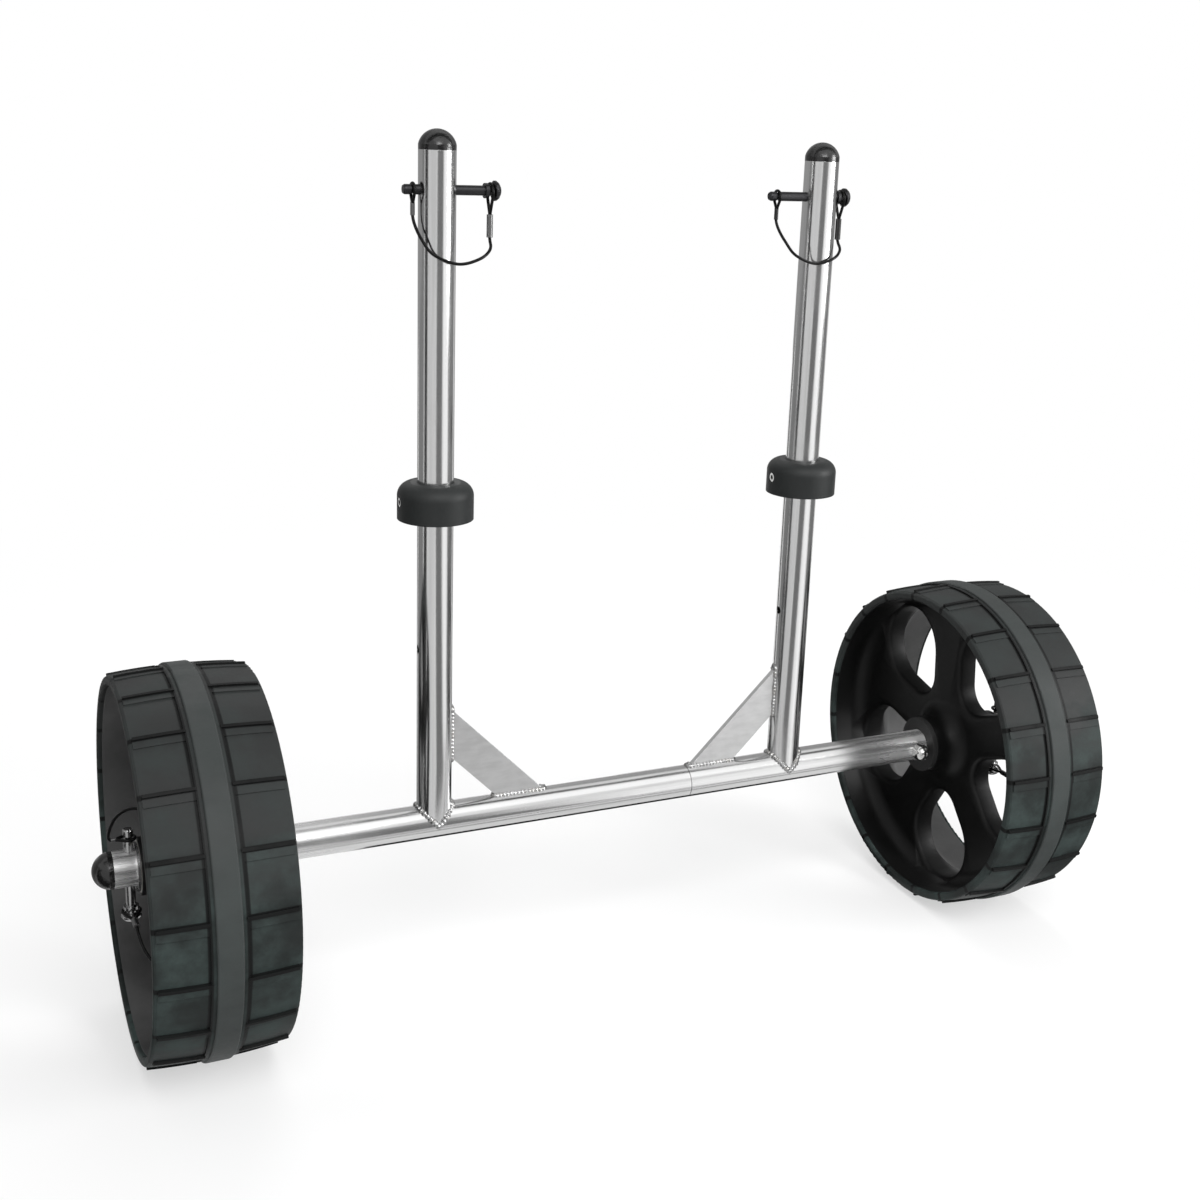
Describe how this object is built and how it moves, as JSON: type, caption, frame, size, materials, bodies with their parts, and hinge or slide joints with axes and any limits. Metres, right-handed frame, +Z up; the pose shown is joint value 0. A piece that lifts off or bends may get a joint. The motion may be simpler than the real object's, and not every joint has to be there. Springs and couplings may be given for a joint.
{
  "type": "kayak cart",
  "caption": "Two-wheeled cart with a tube axle, two upright posts with rubber collars, gussets, lock pins on cable lanyards and dished spoked wheels with lugged treads.",
  "frame": {"origin": "on the ground, midway between the wheels, under the axle's centre line", "axes": "+X along the axle towards the right wheel, +Y to the back, +Z up along the posts"},
  "size_m": [0.918, 0.322, 0.7435],
  "materials": {
    "tube_steel": "polished stainless steel with fine lines along the tube",
    "gusset_steel": "satin plate",
    "fastener_steel": "polished fasteners",
    "pin_steel": "dark zinc plate, worn at the edges",
    "cap_plastic": "glossy moulded cap",
    "collar_rubber": "matt moulded rubber",
    "core_plastic": "satin moulded plastic",
    "tread_rubber": "matt rubber tread with a dusty bloom",
    "disc_plastic": "smooth moulded disc",
    "bush_nylon": "natural nylon",
    "cable_coat": "plastic coated wire cable",
    "ferrule_metal": "crimped ferrule",
    "ferrule_black": "black sleeve"
  },
  "bodies": {
    "frame": {"axle_tube": "tube_steel", "left_post": "tube_steel", "right_post": "tube_steel", "left_gusset": "gusset_steel", "right_gusset": "gusset_steel", "left_post_cap": "cap_plastic", "right_post_cap": "cap_plastic", "left_axle_cap": "cap_plastic", "right_axle_cap": "cap_plastic", "stop_bolts": "fastener_steel", "stop_nuts": "fastener_steel", "inner_discs": "disc_plastic", "outer_washers": "fastener_steel"},
    "left_wheel": {"left_wheel_core": "core_plastic", "left_tread": "tread_rubber", "left_hub_bushes": "bush_nylon"},
    "right_wheel": {"right_wheel_core": "core_plastic", "right_tread": "tread_rubber", "right_hub_bushes": "bush_nylon"},
    "left_collar_set": {"left_collar": "collar_rubber", "left_collar_screw": "fastener_steel"},
    "right_collar_set": {"right_collar": "collar_rubber", "right_collar_screw": "fastener_steel"},
    "left_post_lock": {"left_post_pin": "pin_steel"},
    "right_post_lock": {"right_post_pin": "pin_steel"},
    "left_axle_lock": {"left_axle_pin": "pin_steel"},
    "right_axle_lock": {"right_axle_pin": "pin_steel"},
    "left_post_cord": {"left_post_lanyard": "cable_coat", "left_post_eyes": "cable_coat", "left_post_ferrules": "ferrule_metal"},
    "right_post_cord": {"right_post_lanyard": "cable_coat", "right_post_eyes": "cable_coat", "right_post_ferrules": "ferrule_black"},
    "left_axle_cord": {"left_axle_lanyard": "cable_coat", "left_axle_eyes": "cable_coat", "left_axle_ferrules": "ferrule_metal"},
    "right_axle_cord": {"right_axle_lanyard": "cable_coat", "right_axle_eyes": "cable_coat", "right_axle_ferrules": "ferrule_metal"}
  },
  "joints": [
    {"name": "left_wheel_spin", "type": "hinge", "parent": "frame", "child": "left_wheel", "pos_m": [-0.381, 0, 0.161], "axis": [1, 0, 0], "continuous": true},
    {"name": "right_wheel_spin", "type": "hinge", "parent": "frame", "child": "right_wheel", "pos_m": [0.381, 0, 0.161], "axis": [1, 0, 0], "continuous": true},
    {"name": "left_collar_slide", "type": "slide", "parent": "frame", "child": "left_collar_set", "axis": [0, 0, 1], "range_m": [-0.128, 0]},
    {"name": "right_collar_slide", "type": "slide", "parent": "frame", "child": "right_collar_set", "axis": [0, 0, 1], "range_m": [-0.128, 0]},
    {"name": "left_post_pin_slide", "type": "slide", "parent": "frame", "child": "left_post_lock", "axis": [1, 0, 0], "range_m": [-0.0235, 0.002]},
    {"name": "right_post_pin_slide", "type": "slide", "parent": "frame", "child": "right_post_lock", "axis": [1, 0, 0], "range_m": [-0.001, 0.025]},
    {"name": "left_axle_pin_slide", "type": "slide", "parent": "frame", "child": "left_axle_lock", "axis": [0, 0, 1], "range_m": [-0.004, 0.012]},
    {"name": "right_axle_pin_slide", "type": "slide", "parent": "frame", "child": "right_axle_lock", "axis": [0, 0, 1], "range_m": [-0.004, 0.012]},
    {"name": "left_post_lanyard_swing", "type": "hinge", "parent": "left_post_lock", "child": "left_post_cord", "pos_m": [-0.163, 0, 0.697], "axis": [-1, 0, 0], "range_deg": [0, 120]},
    {"name": "right_post_lanyard_swing", "type": "hinge", "parent": "right_post_lock", "child": "right_post_cord", "pos_m": [0.164, 0, 0.697], "axis": [-1, 0, 0], "range_deg": [0, 120]},
    {"name": "left_axle_lanyard_swing", "type": "hinge", "parent": "left_axle_lock", "child": "left_axle_cord", "pos_m": [-0.43, 0, 0.161], "axis": [0, 0, -1], "range_deg": [0, 100]},
    {"name": "right_axle_lanyard_swing", "type": "hinge", "parent": "right_axle_lock", "child": "right_axle_cord", "pos_m": [0.43, 0, 0.161], "axis": [0, 0, 1], "range_deg": [0, 100]}
  ]
}
